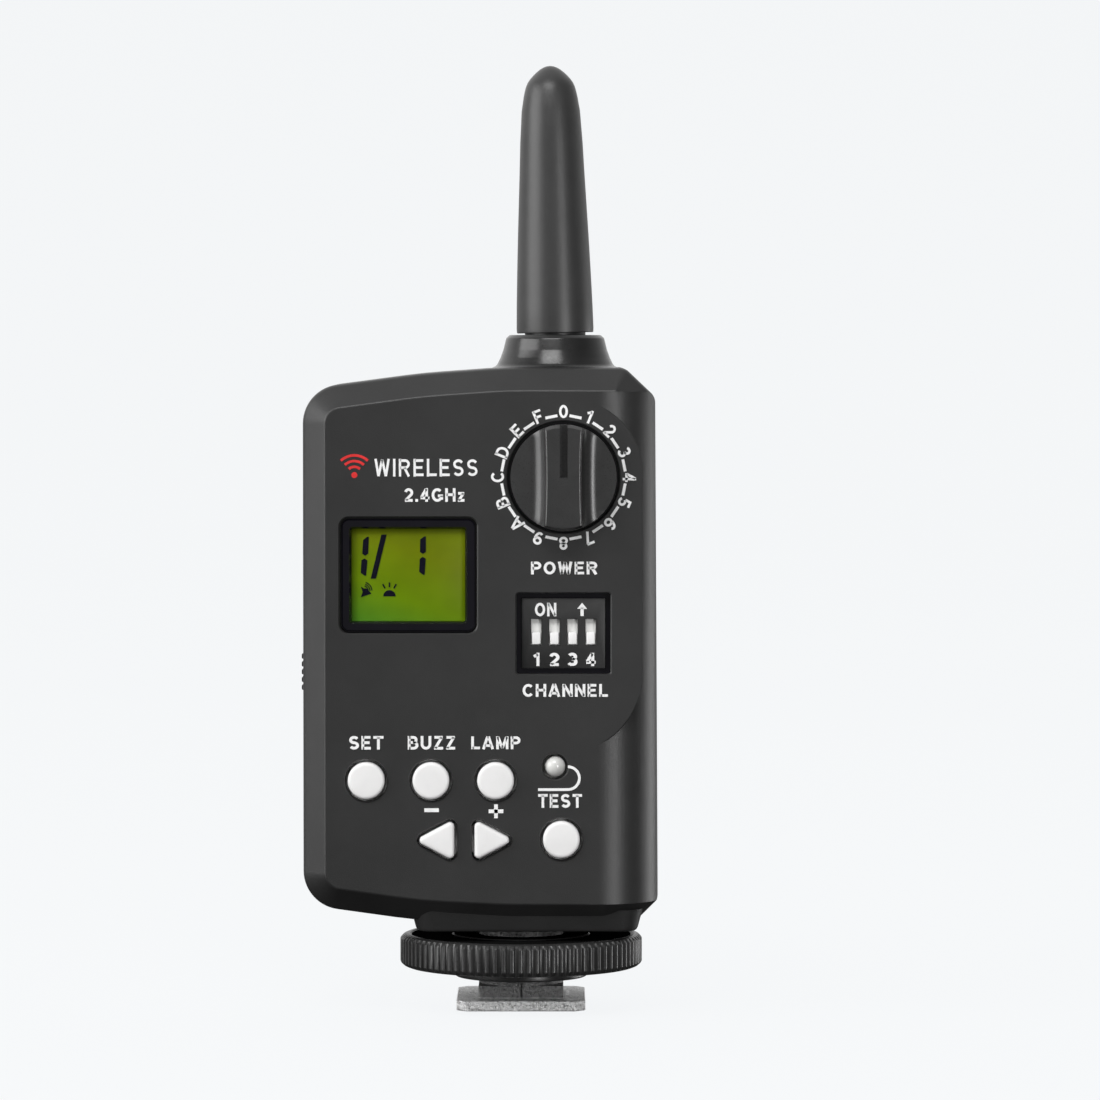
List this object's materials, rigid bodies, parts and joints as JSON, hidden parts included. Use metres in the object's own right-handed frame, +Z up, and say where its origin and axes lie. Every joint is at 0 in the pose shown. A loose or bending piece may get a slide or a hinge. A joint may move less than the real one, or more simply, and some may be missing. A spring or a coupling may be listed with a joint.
{
  "type": "wireless flash trigger",
  "caption": "Hand-held radio flash trigger with stub antenna, power dial, backlit display, channel switches, white buttons and a clamping camera shoe foot.",
  "frame": {"origin": "centre of the shoe foot's underside", "axes": "+Z up along the antenna, -Y the face with the display and the buttons, +X to the right seen from that face"},
  "size_m": [0.0503, 0.0362, 0.1339],
  "materials": {
    "case_black": "satin moulded",
    "gloss_black": "glossy moulded",
    "rubber_black": "matte rubber",
    "white_plastic": "satin white",
    "clear_plastic": "clear moulded lens",
    "display_window": "clear window with a black border",
    "display_glass": "backlit yellow-green",
    "board_green": "solder resist",
    "chip_black": "moulded",
    "steel": "plated",
    "foot_metal": "machined",
    "brass": "turned",
    "cell_skin": "printed sleeve"
  },
  "bodies": {
    "case": {"front_shell": "case_black", "rear_shell": "case_black", "antenna_collar": "gloss_black", "antenna_nut": "brass", "antenna_sleeve": "rubber_black", "antenna_core": "brass", "display_window": "display_window", "display_glass": "display_glass", "display_backlight": "white_plastic", "rotary_switch": "chip_black", "dip_switch_body": "chip_black", "set_tact_switch": "steel", "buzz_tact_switch": "steel", "lamp_tact_switch": "steel", "minus_tact_switch": "steel", "plus_tact_switch": "steel", "test_tact_switch": "steel", "status_lamp": "clear_plastic", "main_board": "board_green", "radio_module": "steel", "controller_chip": "chip_black", "power_switch_body": "steel", "battery_tray": "case_black", "battery_cell_1": "cell_skin", "battery_cell_2": "cell_skin", "battery_spring_1": "steel", "battery_spring_2": "steel", "contact_plate_1": "steel", "contact_plate_2": "steel", "contact_bridge": "steel", "shoe_foot": "foot_metal", "contact_insulator": "chip_black", "case_screw_1": "steel", "case_screw_2": "steel", "case_screw_3": "steel", "case_screw_4": "steel", "board_screw_1": "steel", "board_screw_2": "steel", "board_screw_3": "steel", "foot_screw_1": "steel", "foot_screw_2": "steel", "foot_screw_3": "steel", "foot_screw_4": "steel"},
    "power_dial": {"power_dial": "gloss_black", "dial_shaft": "brass"},
    "lock_ring": {"lock_ring": "gloss_black"},
    "pressure_washer": {"pressure_washer": "gloss_black"},
    "power_switch": {"power_switch_knob": "case_black"},
    "battery_door": {"battery_door": "case_black"},
    "centre_contact": {"centre_contact": "brass"},
    "dip_slider_1": {"dip_slider_1": "white_plastic"},
    "dip_slider_2": {"dip_slider_2": "white_plastic"},
    "dip_slider_3": {"dip_slider_3": "white_plastic"},
    "dip_slider_4": {"dip_slider_4": "white_plastic"},
    "set_button": {"set_button": "white_plastic"},
    "buzz_button": {"buzz_button": "white_plastic"},
    "lamp_button": {"lamp_button": "white_plastic"},
    "minus_button": {"minus_button": "white_plastic"},
    "plus_button": {"plus_button": "white_plastic"},
    "test_button": {"test_button": "white_plastic"}
  },
  "joints": [
    {"name": "dial_turn", "type": "hinge", "parent": "case", "child": "power_dial", "pos_m": [0.006, -0.0142, 0.07545], "axis": [0, 1, 0], "continuous": true},
    {"name": "dip_1_slide", "type": "slide", "parent": "case", "child": "dip_slider_1", "axis": [0, 0, 1], "range_m": [0, 0.0017]},
    {"name": "dip_2_slide", "type": "slide", "parent": "case", "child": "dip_slider_2", "axis": [0, 0, 1], "range_m": [0, 0.0017]},
    {"name": "dip_3_slide", "type": "slide", "parent": "case", "child": "dip_slider_3", "axis": [0, 0, 1], "range_m": [0, 0.0017]},
    {"name": "dip_4_slide", "type": "slide", "parent": "case", "child": "dip_slider_4", "axis": [0, 0, 1], "range_m": [0, 0.0017]},
    {"name": "set_press", "type": "slide", "parent": "case", "child": "set_button", "axis": [0, 1, 0], "range_m": [0, 0.0006], "stiffness_N_per_m": 400, "springref_m": -0.001},
    {"name": "buzz_press", "type": "slide", "parent": "case", "child": "buzz_button", "axis": [0, 1, 0], "range_m": [0, 0.0006], "stiffness_N_per_m": 400, "springref_m": -0.001},
    {"name": "lamp_press", "type": "slide", "parent": "case", "child": "lamp_button", "axis": [0, 1, 0], "range_m": [0, 0.0006], "stiffness_N_per_m": 400, "springref_m": -0.001},
    {"name": "minus_press", "type": "slide", "parent": "case", "child": "minus_button", "axis": [0, 1, 0], "range_m": [0, 0.0006], "stiffness_N_per_m": 400, "springref_m": -0.001},
    {"name": "plus_press", "type": "slide", "parent": "case", "child": "plus_button", "axis": [0, 1, 0], "range_m": [0, 0.0006], "stiffness_N_per_m": 400, "springref_m": -0.001},
    {"name": "test_press", "type": "slide", "parent": "case", "child": "test_button", "axis": [0, 1, 0], "range_m": [0, 0.0006], "stiffness_N_per_m": 400, "springref_m": -0.001},
    {"name": "power_slide", "type": "slide", "parent": "case", "child": "power_switch", "axis": [0, 0, 1], "range_m": [0, 0.003]},
    {"name": "door_hinge", "type": "hinge", "parent": "case", "child": "battery_door", "pos_m": [-0.00565, 0.013, 0.0263], "axis": [-1, 0, 0], "range_deg": [0, 95]},
    {"name": "washer_travel", "type": "slide", "parent": "case", "child": "pressure_washer", "axis": [0, 0, 1], "range_m": [-0.0007, 0.0009]},
    {"name": "ring_turn", "type": "hinge", "parent": "pressure_washer", "child": "lock_ring", "pos_m": [0, 0, 0.0079], "axis": [0, 0, 1], "range_deg": [-250, 320]},
    {"name": "contact_press", "type": "slide", "parent": "case", "child": "centre_contact", "axis": [0, 0, 1], "range_m": [0, 0.0005], "stiffness_N_per_m": 300, "springref_m": -0.001}
  ],
  "couplings": [
    {"joint": "washer_travel", "follows": "ring_turn", "m_per_rad": 0.00015915}
  ]
}
